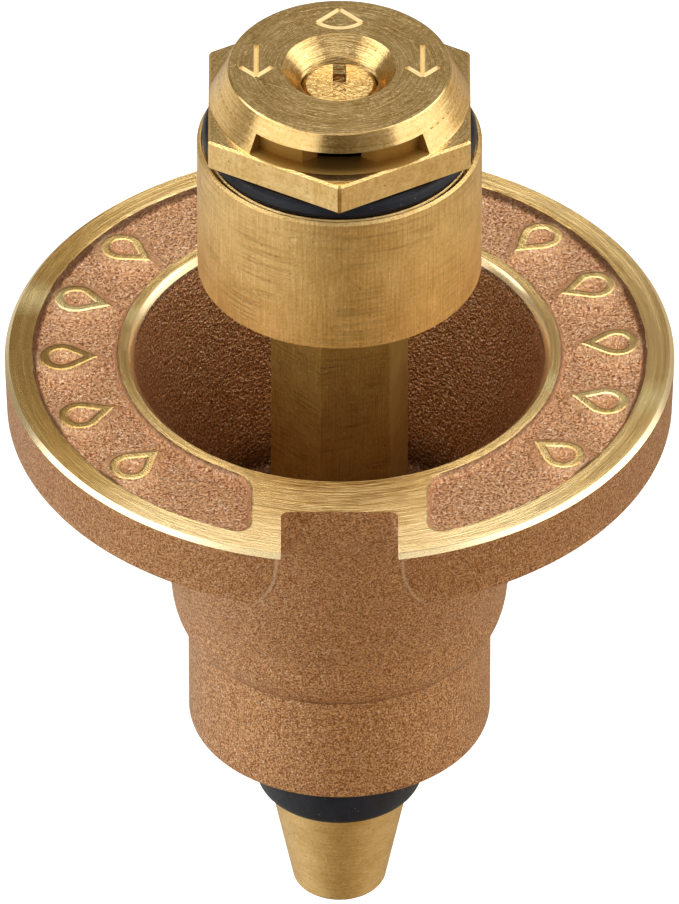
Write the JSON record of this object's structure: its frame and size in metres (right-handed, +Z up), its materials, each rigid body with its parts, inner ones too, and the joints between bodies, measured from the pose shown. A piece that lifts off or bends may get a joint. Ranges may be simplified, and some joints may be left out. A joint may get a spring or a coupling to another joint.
{
  "type": "pop up sprinkler",
  "caption": "Brass pop up lawn sprinkler: cast flanged cup with threaded inlet, sliding hexagonal riser and quarter-pattern spray nozzle with adjusting screw.",
  "frame": {"origin": "centre of the inlet's mouth, on the body's bottom face", "axes": "+Z up along the riser; the nozzle sprays towards -Y at rest"},
  "size_m": [0.0604, 0.0594, 0.0929],
  "materials": {
    "cast_bronze": "as cast, with a machined top",
    "guide_brass": "machined",
    "stem_brass": "drawn",
    "collar_brass": "turned",
    "nozzle_brass": "turned and milled",
    "screw_brass": "machined",
    "ferrule_brass": "turned",
    "strainer_brass": "pressed",
    "gasket_rubber": "satin",
    "washer_rubber": "satin"
  },
  "bodies": {
    "body": {"body_casting": "cast_bronze", "guide_bush": "guide_brass"},
    "riser": {"riser_stem": "stem_brass", "stem_washer": "washer_rubber", "inlet_ferrule": "ferrule_brass", "nozzle_collar": "collar_brass", "nozzle_gasket": "gasket_rubber"},
    "nozzle": {"spray_nozzle": "nozzle_brass", "strainer_basket": "strainer_brass"},
    "screw": {"adjusting_screw": "screw_brass"}
  },
  "joints": [
    {"name": "riser_lift", "type": "slide", "parent": "body", "child": "riser", "axis": [0, 0, 1], "range_m": [-0.032, 0.018]},
    {"name": "nozzle_aim", "type": "hinge", "parent": "riser", "child": "nozzle", "pos_m": [0, 0, 0.0664], "axis": [0, 0, 1], "range_deg": [-180, 180]},
    {"name": "screw_turn", "type": "hinge", "parent": "nozzle", "child": "screw", "pos_m": [0, 0, 0.0708], "axis": [0, 0, 1], "range_deg": [-720, 720]}
  ]
}
